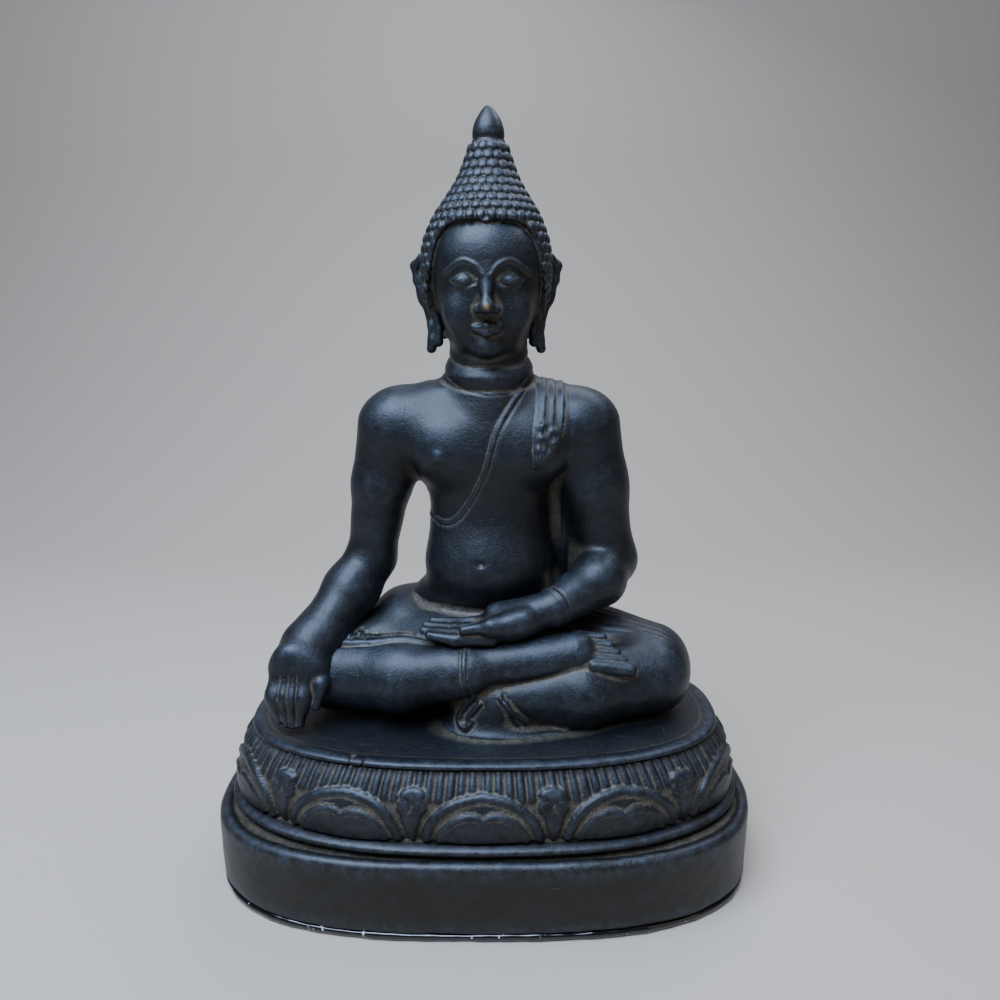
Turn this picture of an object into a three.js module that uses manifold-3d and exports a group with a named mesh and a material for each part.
// Seated buddha statue on an oval lotus throne: a hollow bronze cast in sections, doweled together and
// clamped down on its plinth by one tie rod. Millimetres, +Z up, origin at the centre of the underside.
// The figure faces -Y, so its right hand, which reaches over the shin to the seat, is on the -X side.
import * as THREE from "three";
import { mergeVertices } from "three/addons/utils/BufferGeometryUtils.js";
import Module from "manifold-3d";

const wasm = await Module();
wasm.setup();

// ---- Driving dimensions -------------------------------------------------------------------------
const GAP = 0.3; // clearance between sections that touch
const WALL = 3; // casting thickness

const OVAL_POWER = 2.9; // squareness of the plinth's oval plan; 2 would be an ellipse
const THRONE_POWER = 2.5; // the throne above it is a little rounder
const BASE_HALF_WIDTH = 59.5;
const BASE_HALF_DEPTH = 34;
const PLATE_THICK = 1.3;
const PLATE_INSET = 2;
const PLINTH_FOOT = PLATE_THICK + GAP;
const PLINTH_TOP = 17.2;
const DECK_OPENING_INSET = 16; // from the plinth's side to the opening in its top deck
const THRONE_FOOT = PLINTH_TOP + GAP;
const SEAT_TOP = 34.5;
const SEAT_FLOOR = SEAT_TOP - WALL;
const PETAL_COUNT = 10; // the first of them is centred at the front

const BODY_X = 0.6; // the figure sits this far off the base's centre line
const BODY_Y = 8; // depth of the spine line behind the base's centre
const LEGS_BOTTOM = SEAT_TOP + GAP;
const WAIST_Z = 58.6; // joint between the legs section and the torso section
const SHOULDER_CUT = 17.5; // half width of the torso section at its shoulder joints
const SHOULDER_Z = 98;
const NECK_Z = 108.4; // joint between the torso and the head
const CHIN_Z = 112;
const CROWN_FOOT_Z = 137;
const USHNISHA_TOP_Z = 155.8;
const FINIAL_TIP_Z = 162.6;
const HEAD_HALF_WIDTH = 13.2;
const HEAD_X = 0.7;
const CROWN_X = 1; // the crown leans a little to the figure's left

const ROD_RADIUS = 2;
const ROD_X = BODY_X;
const ROD_Y = BODY_Y;
const SHOULDER_DOWEL_RADIUS = 1.8;
const SHOULDER_DOWEL_LENGTH = 11;
const NECK_DOWEL_RADIUS = 2.6;
const NECK_DOWEL_LENGTH = 12;

// ---- Small tools ---------------------------------------------------------------------------------
// A closed three.js geometry as a manifold-3d solid, turned the right way round.
function solid(geometry) {
  const bare = new THREE.BufferGeometry().setAttribute("position", geometry.getAttribute("position"));
  if (geometry.index) bare.setIndex(geometry.index);
  const merged = mergeVertices(bare, 1e-4);
  const all = merged.index.array;
  const kept = [];
  for (let i = 0; i < all.length; i += 3) {
    const [a, b, c] = [all[i], all[i + 1], all[i + 2]];
    if (a !== b && b !== c && a !== c) kept.push(a, b, c);
  }
  const make = (triVerts) =>
    new wasm.Manifold(
      new wasm.Mesh({ numProp: 3, vertProperties: merged.attributes.position.array, triVerts }),
    );
  const made = make(new Uint32Array(kept));
  if (made.volume() > 0) return made;
  for (let i = 0; i < kept.length; i += 3) [kept[i + 1], kept[i + 2]] = [kept[i + 2], kept[i + 1]];
  return make(new Uint32Array(kept));
}

const join = (...solids) => solids.reduce((a, b) => a.add(b));
const cut = (blank, ...tools) => tools.reduce((a, b) => a.subtract(b), blank);

// An ellipsoid: centre, half sizes and an optional turn about X, Y and Z in degrees.
function ball([x, y, z], [rx, ry, rz], turn = [0, 0, 0], around = 18) {
  const geometry = new THREE.SphereGeometry(1, around, Math.round(around * 0.6)).scale(rx, ry, rz);
  const [tx, ty, tz] = turn.map(THREE.MathUtils.degToRad);
  geometry.applyMatrix4(new THREE.Matrix4().makeRotationFromEuler(new THREE.Euler(tx, ty, tz)));
  return solid(geometry.translate(x, y, z));
}

// A limb between two points with a round end of its own radius at each.
function limb(from, to, startRadius, endRadius, around = 14) {
  const a = new THREE.Vector3(...from);
  const b = new THREE.Vector3(...to);
  const length = a.distanceTo(b);
  const steps = 3;
  const profile = [];
  for (let i = 0; i <= steps; i++) {
    const t = (i / steps - 1) * (Math.PI / 2);
    profile.push(new THREE.Vector2(startRadius * Math.cos(t), startRadius * Math.sin(t)));
  }
  for (let i = 0; i <= steps; i++) {
    const t = (i / steps) * (Math.PI / 2);
    profile.push(new THREE.Vector2(endRadius * Math.cos(t), length + endRadius * Math.sin(t)));
  }
  profile[0].x = 0;
  profile[profile.length - 1].x = 0;
  const geometry = new THREE.LatheGeometry(profile, around);
  const along = b.clone().sub(a).normalize();
  geometry.applyQuaternion(new THREE.Quaternion().setFromUnitVectors(new THREE.Vector3(0, 1, 0), along));
  return solid(geometry.translate(...from));
}

// A round bar along an axis direction, centred at a point.
function bar([x, y, z], direction, radius, length, around = 16) {
  const geometry = new THREE.CylinderGeometry(radius, radius, length, around);
  const along = new THREE.Vector3(...direction).normalize();
  geometry.applyQuaternion(new THREE.Quaternion().setFromUnitVectors(new THREE.Vector3(0, 1, 0), along));
  return solid(geometry.translate(x, y, z));
}

// A box from its lowest corner to its highest.
function block(low, high) {
  const size = high.map((v, i) => v - low[i]);
  const middle = high.map((v, i) => (v + low[i]) / 2);
  return solid(new THREE.BoxGeometry(...size).translate(...middle));
}

// The point of an oval at a turn about its centre, inset from the base's outline by a distance.
function ovalPoint(turn, inset, power) {
  const reach = (half, share) => Math.sign(share) * half * Math.abs(share) ** (2 / power);
  return [
    reach(BASE_HALF_WIDTH - inset, Math.cos(turn)),
    reach(BASE_HALF_DEPTH - inset, Math.sin(turn)),
  ];
}

// A moulding carried round the base's oval. It starts as a lathe of one ring for each profile point
// [inset, z], and each ring is then moved onto the oval inset by that much; an inset of null is the axis.
function oval(profile, power = OVAL_POWER, around = 56) {
  const lathe = new THREE.LatheGeometry(
    profile.map(([inset, z]) => new THREE.Vector2(inset === null ? 0 : 1, z)),
    around,
  );
  const position = lathe.getAttribute("position");
  for (let i = 0; i < position.count; i++) {
    const [inset, z] = profile[i % profile.length];
    const turn = (Math.floor(i / profile.length) % around) * ((2 * Math.PI) / around);
    const [x, y] = inset === null ? [0, 0] : ovalPoint(turn, inset, power);
    position.setXYZ(i, x, y, z);
  }
  return solid(lathe);
}

// A flat disc on the base's oval, from one height to another.
const slab = (inset, low, high, power) =>
  oval([[null, low], [inset, low], [inset, high], [null, high]], power);

// Turns that divide the throne's oval into equal lengths, the first of them at its front.
function evenTurns(count, inset) {
  const steps = 720;
  const front = -Math.PI / 2;
  const run = [0];
  for (let i = 1; i <= steps; i++) {
    const a = ovalPoint(front + ((i - 1) / steps) * 2 * Math.PI, inset, THRONE_POWER);
    const b = ovalPoint(front + (i / steps) * 2 * Math.PI, inset, THRONE_POWER);
    run.push(run[i - 1] + Math.hypot(b[0] - a[0], b[1] - a[1]));
  }
  const turnAt = (length) => front + (run.findIndex((l) => l >= length) / steps) * 2 * Math.PI;
  return Array.from({ length: count }, (_, i) => turnAt((i / count) * run[steps]));
}

// One component of the throne oval's outward normal at a point on it.
const steepness = (place, half) =>
  (Math.sign(place) * Math.abs(place / half) ** (THRONE_POWER - 1)) / half;

const statue = new THREE.Group();

const FINISHES = {
  bronze: new THREE.MeshStandardMaterial({ color: 0x23272b, roughness: 0.42, metalness: 0.75 }),
  iron: new THREE.MeshStandardMaterial({ color: 0x5b4a3c, roughness: 0.7, metalness: 0.6 }),
  steel: new THREE.MeshStandardMaterial({ color: 0x8d9196, roughness: 0.4, metalness: 0.9 }),
  clay: new THREE.MeshStandardMaterial({ color: 0x6e4a33, roughness: 0.95, metalness: 0 }),
  plaster: new THREE.MeshStandardMaterial({ color: 0xd9d4c8, roughness: 0.9, metalness: 0 }),
  lacquer: new THREE.MeshStandardMaterial({ color: 0x0c0c0d, roughness: 0.2, metalness: 0 }),
  brass: new THREE.MeshStandardMaterial({ color: 0xb08d4a, roughness: 0.35, metalness: 0.9 }),
};

function add(name, made, finish) {
  const { vertProperties, triVerts } = made.getMesh();
  const geometry = new THREE.BufferGeometry();
  geometry.setAttribute("position", new THREE.BufferAttribute(vertProperties, 3));
  geometry.setIndex(new THREE.BufferAttribute(triVerts, 1));
  geometry.computeVertexNormals();
  const mesh = new THREE.Mesh(geometry, FINISHES[finish]);
  mesh.name = name;
  statue.add(mesh);
}

const rodHole = (low, high) =>
  bar([ROD_X, ROD_Y, (low + high) / 2], [0, 0, 1], ROD_RADIUS + GAP, high - low);

// ---- Plinth and what closes it -------------------------------------------------------------------
// The plinth is an open-bottomed oval ring whose flat deck carries the throne round a wide opening.
function plinth() {
  return oval([
    [0.6, PLINTH_FOOT],
    [0, PLINTH_FOOT + 1.2],
    [0, 14.2],
    [0.5, 16.1],
    [1.7, PLINTH_TOP],
    [DECK_OPENING_INSET, PLINTH_TOP],
    [DECK_OPENING_INSET, PLINTH_TOP - WALL],
    [WALL + 1.5, PLINTH_TOP - WALL],
    [WALL, PLINTH_TOP - WALL - 1.5],
    [WALL, PLINTH_FOOT],
    [0.6, PLINTH_FOOT],
  ]);
}

const sealRing = () =>
  oval([
    [0.1, 0],
    [0.1, PLATE_THICK],
    [PLATE_INSET - GAP, PLATE_THICK],
    [PLATE_INSET - GAP, 0],
    [0.1, 0],
  ]);

// The fill is cast in the plinth round the relic capsule, whose pocket opens downwards.
const FILL_TOP = 8.2;
const CAPSULE_X = -24;
const CAPSULE_RADIUS = 4;
const CAPSULE_LENGTH = 16;
const CAPSULE_WALL = 1;
const CAPSULE_Z = 5.8;
const LID_LENGTH = 4;

function plasterFill() {
  const pocket = block(
    [CAPSULE_X - CAPSULE_LENGTH / 2 - LID_LENGTH - 2, -CAPSULE_RADIUS - 1.6, PLATE_THICK],
    [CAPSULE_X + CAPSULE_LENGTH / 2 + 2, CAPSULE_RADIUS + 1.6, FILL_TOP + 4],
  );
  const nutWell = bar([ROD_X, ROD_Y, FILL_TOP], [0, 0, 1], 6, 11);
  return cut(slab(WALL + GAP, PLINTH_FOOT, FILL_TOP), pocket, nutWell);
}

// A thin tube with one end open, lying along X, and the plug lid that closes it.
const capsulePiece = (x, radius, length) => bar([x, 0, CAPSULE_Z], [1, 0, 0], radius, length, 20);
const capsule = () =>
  cut(
    capsulePiece(CAPSULE_X, CAPSULE_RADIUS, CAPSULE_LENGTH),
    capsulePiece(CAPSULE_X - CAPSULE_WALL, CAPSULE_RADIUS - CAPSULE_WALL, CAPSULE_LENGTH),
  );

function capsuleLid() {
  const mouth = CAPSULE_X - CAPSULE_LENGTH / 2;
  return join(
    capsulePiece(mouth - LID_LENGTH / 4 - GAP, CAPSULE_RADIUS, LID_LENGTH / 2),
    capsulePiece(mouth, CAPSULE_RADIUS - CAPSULE_WALL - GAP, LID_LENGTH),
  );
}

// ---- Lotus throne --------------------------------------------------------------------------------
const PETAL_INSET = 6.2; // of a petal's centre from the plinth's side

// Foot moulding, a band of petals that leans in, a band of stamens under a rolled rim, and the seat.
function throne() {
  const outer = [
    [null, THRONE_FOOT],
    [4, THRONE_FOOT],
    [3, THRONE_FOOT + 0.9],
    [3.2, THRONE_FOOT + 2.4],
    [4.6, THRONE_FOOT + 3.2],
    [4.6, 24],
    [5.4, 28],
    [7.4, 31],
    [8.6, 32.6],
    [7.4, 33.2],
    [7.4, 34],
    [8.4, SEAT_TOP],
    [null, SEAT_TOP],
  ];
  const hollow = oval([
    [null, THRONE_FOOT - 1],
    [DECK_OPENING_INSET, THRONE_FOOT - 1],
    [DECK_OPENING_INSET, THRONE_FOOT + WALL],
    [WALL * 2 + 1.5, THRONE_FOOT + WALL + 1],
    [WALL * 2 + 1.5, 26],
    [WALL * 4, SEAT_FLOOR],
    [null, SEAT_FLOOR],
  ], THRONE_POWER);
  const petals = evenTurns(PETAL_COUNT, PETAL_INSET).map((turn) => {
    const [x, y] = ovalPoint(turn, PETAL_INSET, THRONE_POWER);
    const facing = Math.atan2(steepness(y, BASE_HALF_DEPTH), steepness(x, BASE_HALF_WIDTH));
    return ball([x, y, 25.2], [2.6, 11.4, 4.6], [0, 0, THREE.MathUtils.radToDeg(facing)], 10);
  });
  const body = join(oval(outer, THRONE_POWER), ...petals);
  return cut(body, hollow, rodHole(SEAT_FLOOR - 1, SEAT_TOP + 1), rimPatch(GAP));
}

// A rectangular plug let into the rim of the seat, where a casting flaw was mended.
function rimPatch(grow = 0) {
  const [x, front, back, foot, head] = [-25.5, -29, -24.4, 33, SEAT_TOP + 0.1];
  return block([x - 1.4 - grow, front - grow, foot - grow], [x + 1.4 + grow, back + grow, head + grow]);
}

// ---- The figure ----------------------------------------------------------------------------------
// Legs folded one on the other: the right shin and its upturned foot lie over the left shin.
const RIGHT_KNEE = [-34.5, -1, 43.2];
const LEFT_KNEE = [38.6, 0.5, 42.6];
const RIGHT_ANKLE = [-3, -10.5, 48.6];
const LEFT_ANKLE = [2, -8.5, 40.5];
const RIGHT_TOES = [27.5, -8.2, 51.2];

function legsBlank(grow = 0) {
  return join(
    limb([-13, 14, 48.4], RIGHT_KNEE, 11 + grow, 8.9 + grow),
    limb([14, 14, 46.2], LEFT_KNEE, 11 + grow, 9 + grow),
    ball([-17.5, 11, 56], [7.6 + grow, 9 + grow, 5 + grow], [0, 20, 0], 12),
    limb([-31, -5, 43], RIGHT_ANKLE, 7.9 + grow, 5.2 + grow),
    limb([36, -4, 42], LEFT_ANKLE, 8.6 + grow, 6.2 + grow),
    limb(RIGHT_ANKLE, [13, -9.5, 51], 5 + grow, 4.2 + grow),
    limb([13, -9.5, 51], RIGHT_TOES, 4.2 + grow, 3.4 + grow),
    ball([BODY_X, 6, 49], [27 + grow, 17 + grow, 9 + grow], [0, 0, 0], 20),
    ball([BODY_X, 13, 44], [34 + grow, 13 + grow, 12 + grow], [0, 0, 0], 20),
  );
}

function torsoBlank(grow = 0) {
  return join(
    ball([BODY_X, 7, 65], [15 + grow, 11.8 + grow, 13 + grow], [0, 0, 0], 20),
    ball([BODY_X, 8, 76], [13.4 + grow, 10.6 + grow, 16 + grow], [0, 0, 0], 20),
    ball([BODY_X, 7.5, 90], [17.6 + grow, 11.6 + grow, 13 + grow], [0, 0, 0], 20),
    limb([BODY_X - 16, BODY_Y, 97.4], [BODY_X + 16, BODY_Y, 97.4], 7.9 + grow, 7.9 + grow),
    limb([BODY_X, BODY_Y, 99], [BODY_X, BODY_Y, 108], 10.5 + grow, 8.6 + grow),
    limb([BODY_X - 17, BODY_Y, 100.8], [BODY_X - 6, BODY_Y, 104.2], 6.4 + grow, 6 + grow),
    limb([BODY_X + 17, BODY_Y, 101.6], [BODY_X + 6, BODY_Y, 104.6], 6.6 + grow, 6 + grow),
  );
}

const RIGHT_SHOULDER = [-20.6, BODY_Y, SHOULDER_Z + 0.4];
const RIGHT_ELBOW = [-27.6, 8.4, 65.6];
const RIGHT_WRIST = [-36.6, -2.5, 52.2];
const LEFT_SHOULDER = [21.6, BODY_Y, SHOULDER_Z + 0.8];
const LEFT_ELBOW = [28.4, 7.5, 66.2];
const LEFT_WRIST = [14.2, -5.6, 60];

const FINGERS = 4;

// The right hand hangs over the shin with its back outwards and its fingertips just above the seat.
function rightArmBlank() {
  const fingers = [];
  for (let i = 0; i < FINGERS; i++) {
    const x = -42.2 + i * 3;
    const reach = 37.8 - (i === 1 || i === 2 ? 0.9 : 0);
    fingers.push(limb([x, -12.4, 46], [x + 0.5, -15.4, reach + 1], 1.7, 1.5, 10));
  }
  return join(
    limb(RIGHT_SHOULDER, [-23.4, BODY_Y, 84], 7.6, 6.4),
    limb([-23.4, BODY_Y, 84], RIGHT_ELBOW, 6.4, 5.2),
    limb(RIGHT_ELBOW, RIGHT_WRIST, 5.9, 4.8),
    limb(RIGHT_WRIST, [-38, -9.2, 47.4], 4.8, 4.6),
    ball([-37.9, -10.4, 47], [6.6, 3.4, 4.8], [28, 0, 0], 14),
    limb([-33, -8.6, 49], [-31.2, -13.4, 42.6], 2.2, 1.5, 10),
    ...fingers,
  );
}

// The left hand lies palm up in the lap with its fingers pointing to the right.
function leftArmBlank() {
  const fingers = [];
  for (let i = 0; i < FINGERS; i++) {
    const y = -3.6 - i * 2.7;
    fingers.push(limb([-1, y, 58.6], [-11 + i * 1.4, y - 0.6, 58.4 - i * 0.4], 1.8, 1.5, 10));
  }
  return join(
    limb(LEFT_SHOULDER, [24.6, BODY_Y, 84], 7.6, 7.2),
    limb([24.6, BODY_Y, 84], LEFT_ELBOW, 7.2, 5.9),
    ball([19.8, 12, 77.4], [9, 5.8, 20.4], [0, 6, 0], 14),
    limb(LEFT_ELBOW, LEFT_WRIST, 5.9, 4),
    limb(LEFT_WRIST, [5, -7.6, 59], 4, 3.6),
    ball([3.6, -7.8, 58.8], [7, 5.8, 3], [0, 0, 0], 14),
    ...fingers,
  );
}

function headBlank() {
  const earX = HEAD_X - 0.5;
  const ear = (side) =>
    join(
      ball([earX + side * 12.6, 9.4, 128.6], [2.8, 2, 5], [0, side * 24, 0], 12),
      limb([earX + side * 11.8, 8.8, 126], [earX + side * 11, 8, 115], 2, 1.7, 10),
    );
  const cone = [
    new THREE.Vector2(0, 0),
    new THREE.Vector2(12.4, 0),
    new THREE.Vector2(11.2, 4),
    new THREE.Vector2(8.8, 7.4),
    new THREE.Vector2(6.3, 11.4),
    new THREE.Vector2(4.6, 15.4),
    new THREE.Vector2(3, USHNISHA_TOP_Z - CROWN_FOOT_Z),
    new THREE.Vector2(0, USHNISHA_TOP_Z - CROWN_FOOT_Z),
  ];
  const ushnisha = new THREE.LatheGeometry(cone, 20).rotateX(Math.PI / 2);
  ushnisha.translate(CROWN_X, BODY_Y, CROWN_FOOT_Z);
  return join(
    ball([HEAD_X - 0.2, BODY_Y, 132], [HEAD_HALF_WIDTH, 13.2, 12.4], [0, 0, 0], 22),
    ball([HEAD_X, 5.6, 123.4], [10.2, 9.4, 11.6], [0, 0, 0], 18),
    ball([HEAD_X, 1.6, CHIN_Z + 3.2], [4.4, 4, 3.2], [0, 0, 0], 12),
    limb([HEAD_X, -3.4, 129], [HEAD_X, -5.2, 122.4], 1.2, 2, 10),
    solid(ushnisha),
    bar([HEAD_X, BODY_Y, 112.5], [0, 0, 1], 8.4, 11, 20),
    ear(1),
    ear(-1),
  );
}

const shoulderDowel = (side, grow = 0) => {
  const middle = [BODY_X + side * SHOULDER_CUT, BODY_Y, SHOULDER_Z];
  return bar(middle, [1, 0, 0], SHOULDER_DOWEL_RADIUS + grow, SHOULDER_DOWEL_LENGTH + 2 * grow, 12);
};
const neckDowel = (grow = 0) =>
  bar([BODY_X, BODY_Y, NECK_Z], [0, 0, 1], NECK_DOWEL_RADIUS + grow, NECK_DOWEL_LENGTH + 2 * grow, 14);

const FINIAL_TENON_RADIUS = 1.3;
const FINIAL_TENON_LENGTH = 5;

// A smooth lotus bud on a round tenon that drops into the top of the ushnisha.
function finial() {
  const foot = USHNISHA_TOP_Z + GAP;
  const tall = FINIAL_TIP_Z - foot;
  const profile = [
    new THREE.Vector2(0, -FINIAL_TENON_LENGTH),
    new THREE.Vector2(FINIAL_TENON_RADIUS, -FINIAL_TENON_LENGTH),
    new THREE.Vector2(FINIAL_TENON_RADIUS, 0),
    new THREE.Vector2(2.6, 0),
    new THREE.Vector2(2.85, tall * 0.25),
    new THREE.Vector2(2.5, tall * 0.55),
    new THREE.Vector2(1.6, tall * 0.82),
    new THREE.Vector2(0.7, tall * 0.96),
    new THREE.Vector2(0, tall),
  ];
  return solid(new THREE.LatheGeometry(profile, 20).rotateX(Math.PI / 2).translate(CROWN_X, BODY_Y, foot));
}

// The space between two heights, and the space between the two shoulder joints.
const FAR = 200;
const between = (low, high) => block([-FAR, -FAR, low], [FAR, FAR, high]);
const torsoSpan = (grow) =>
  block([BODY_X - SHOULDER_CUT - grow, -FAR, 0], [BODY_X + SHOULDER_CUT + grow, FAR, FAR]);

// Each hand is held to the legs by a blind rivet: its middle, the way it points, and its size.
const RIVET_RADIUS = 1.1;
const RIVET_LENGTH = 7;
const rightRivet = (grow = 0) =>
  bar([-37.6, -9, 44.6], [0.1, 0.9, -0.3], RIVET_RADIUS + grow, RIVET_LENGTH + 2 * grow, 10);
const leftRivet = (grow = 0) =>
  bar([4, -6.4, 56.8], [0, 0, 1], RIVET_RADIUS + grow, RIVET_LENGTH + 2 * grow, 10);

// Hollows that the casting cores leave, a wall's thickness inside the skin.
const torsoHollow = (shrink = 0) =>
  join(
    ball([BODY_X, 7, 70], [11 - shrink, 8 - shrink, 8.6 - shrink], [0, 0, 0], 14),
    ball([BODY_X, 8, 84], [11.4 - shrink, 7.4 - shrink, 14 - shrink], [0, 0, 0], 14),
  );
const headHollow = (shrink = 0) =>
  ball([HEAD_X, 7.5, 129], [8.6 - shrink, 8.6 - shrink, 9.6 - shrink], [0, 0, 0], 14);
const CORE_VENT_Z = 118; // the passage from the neck dowel's hole up into the head's hollow
const legsHollow = () => ball([BODY_X, 7, SEAT_TOP], [26, 11, 13], [0, 0, 0], 16);

const legs = legsBlank();
const torsoFull = torsoBlank().intersect(torsoSpan(0));
const armTrim = join(torsoBlank(GAP).intersect(torsoSpan(GAP)), legsBlank(GAP));

add("plinth_casting", plinth(), "bronze");
add("base_plate", slab(PLATE_INSET, 0, PLATE_THICK), "iron");
add("base_seal", sealRing(), "lacquer");
add("plaster_fill", plasterFill(), "plaster");
add("relic_capsule", capsule(), "brass");
add("relic_capsule_lid", capsuleLid(), "brass");
add("lotus_throne_casting", throne(), "bronze");
add("seat_rim_patch", rimPatch().intersect(slab(7.5, SEAT_FLOOR, SEAT_TOP, THRONE_POWER)), "bronze");

add(
  "legs_casting",
  cut(
    legs.intersect(between(LEGS_BOTTOM, WAIST_Z - GAP / 2)),
    legsHollow(),
    rodHole(LEGS_BOTTOM - 1, WAIST_Z + 1),
    rightRivet(GAP),
    leftRivet(GAP),
  ),
  "bronze",
);
add(
  "torso_casting",
  cut(
    torsoFull.intersect(between(WAIST_Z + GAP / 2, NECK_Z - GAP / 2)),
    torsoHollow(),
    rodHole(WAIST_Z - 1, 70),
    shoulderDowel(-1, GAP),
    shoulderDowel(1, GAP),
    neckDowel(GAP),
  ),
  "bronze",
);
add(
  "right_arm_casting",
  cut(rightArmBlank(), armTrim, shoulderDowel(-1, GAP), rightRivet(GAP)),
  "bronze",
);
add(
  "left_arm_casting",
  cut(leftArmBlank(), armTrim, shoulderDowel(1, GAP), leftRivet(GAP)),
  "bronze",
);
add(
  "head_casting",
  cut(
    headBlank().intersect(between(NECK_Z + GAP / 2, FAR)),
    headHollow(),
    neckDowel(GAP),
    bar([BODY_X, BODY_Y, CORE_VENT_Z], [0, 0, 1], NECK_DOWEL_RADIUS + GAP, 10, 14),
    bar([CROWN_X, BODY_Y, USHNISHA_TOP_Z], [0, 0, 1], FINIAL_TENON_RADIUS + GAP, 11, 12),
  ),
  "bronze",
);
add("finial_casting", finial(), "bronze");

add("right_shoulder_dowel", shoulderDowel(-1), "brass");
add("left_shoulder_dowel", shoulderDowel(1), "brass");
add("neck_dowel", neckDowel(), "brass");
add("right_hand_rivet", rightRivet(), "brass");
add("left_hand_rivet", leftRivet(), "brass");

// ---- Tie rod through the whole stack ---------------------------------------------------------------
const CLAMP_TOP = PLINTH_TOP - WALL - GAP;
const CLAMP_THICK = 3;
const CLAMP_WIDTH = 12;
const CLAMP_LENGTH = 48; // it spans the opening in the plinth's deck from front to back
const WASHER_THICK = 1;
const WASHER_RADIUS = 5;
const NUT_HEIGHT = 3.2;
const NUT_ACROSS_CORNERS = 8;
const WASHER_TOP = CLAMP_TOP - CLAMP_THICK - GAP;
const BOTTOM_NUT_TOP = WASHER_TOP - WASHER_THICK - GAP;
const TOP_NUT_FOOT = 64.6;
const ROD_LOW = BOTTOM_NUT_TOP - NUT_HEIGHT - 1;
const ROD_HIGH = TOP_NUT_FOOT + NUT_HEIGHT + 1;

function nut(foot) {
  const geometry = new THREE.CylinderGeometry(NUT_ACROSS_CORNERS / 2, NUT_ACROSS_CORNERS / 2, NUT_HEIGHT, 6);
  geometry.rotateX(Math.PI / 2).translate(ROD_X, ROD_Y, foot + NUT_HEIGHT / 2);
  return cut(solid(geometry), rodHole(foot - 1, foot + NUT_HEIGHT + 1));
}

const rodMiddle = [ROD_X, ROD_Y, (ROD_LOW + ROD_HIGH) / 2];
add("tie_rod", bar(rodMiddle, [0, 0, 1], ROD_RADIUS, ROD_HIGH - ROD_LOW), "steel");
add("tie_rod_top_nut", nut(TOP_NUT_FOOT), "steel");
add("tie_rod_bottom_nut", nut(BOTTOM_NUT_TOP - NUT_HEIGHT), "steel");
add(
  "tie_rod_washer",
  cut(
    bar([ROD_X, ROD_Y, WASHER_TOP - WASHER_THICK / 2], [0, 0, 1], WASHER_RADIUS, WASHER_THICK, 20),
    rodHole(WASHER_TOP - 3, WASHER_TOP + 1),
  ),
  "steel",
);
add(
  "clamp_bar",
  cut(
    block(
      [ROD_X - CLAMP_WIDTH / 2, -CLAMP_LENGTH / 2, CLAMP_TOP - CLAMP_THICK],
      [ROD_X + CLAMP_WIDTH / 2, CLAMP_LENGTH / 2, CLAMP_TOP],
    ),
    rodHole(CLAMP_TOP - CLAMP_THICK - 1, CLAMP_TOP + 1),
  ),
  "iron",
);

// ---- Casting cores left in the hollows -----------------------------------------------------------------
const nutRoom = bar([ROD_X, ROD_Y, TOP_NUT_FOOT + NUT_HEIGHT / 2], [0, 0, 1], 5.4, 14, 16);
add("torso_core", cut(torsoHollow(GAP), nutRoom), "clay");
add("head_core", headHollow(GAP), "clay");

export default statue;
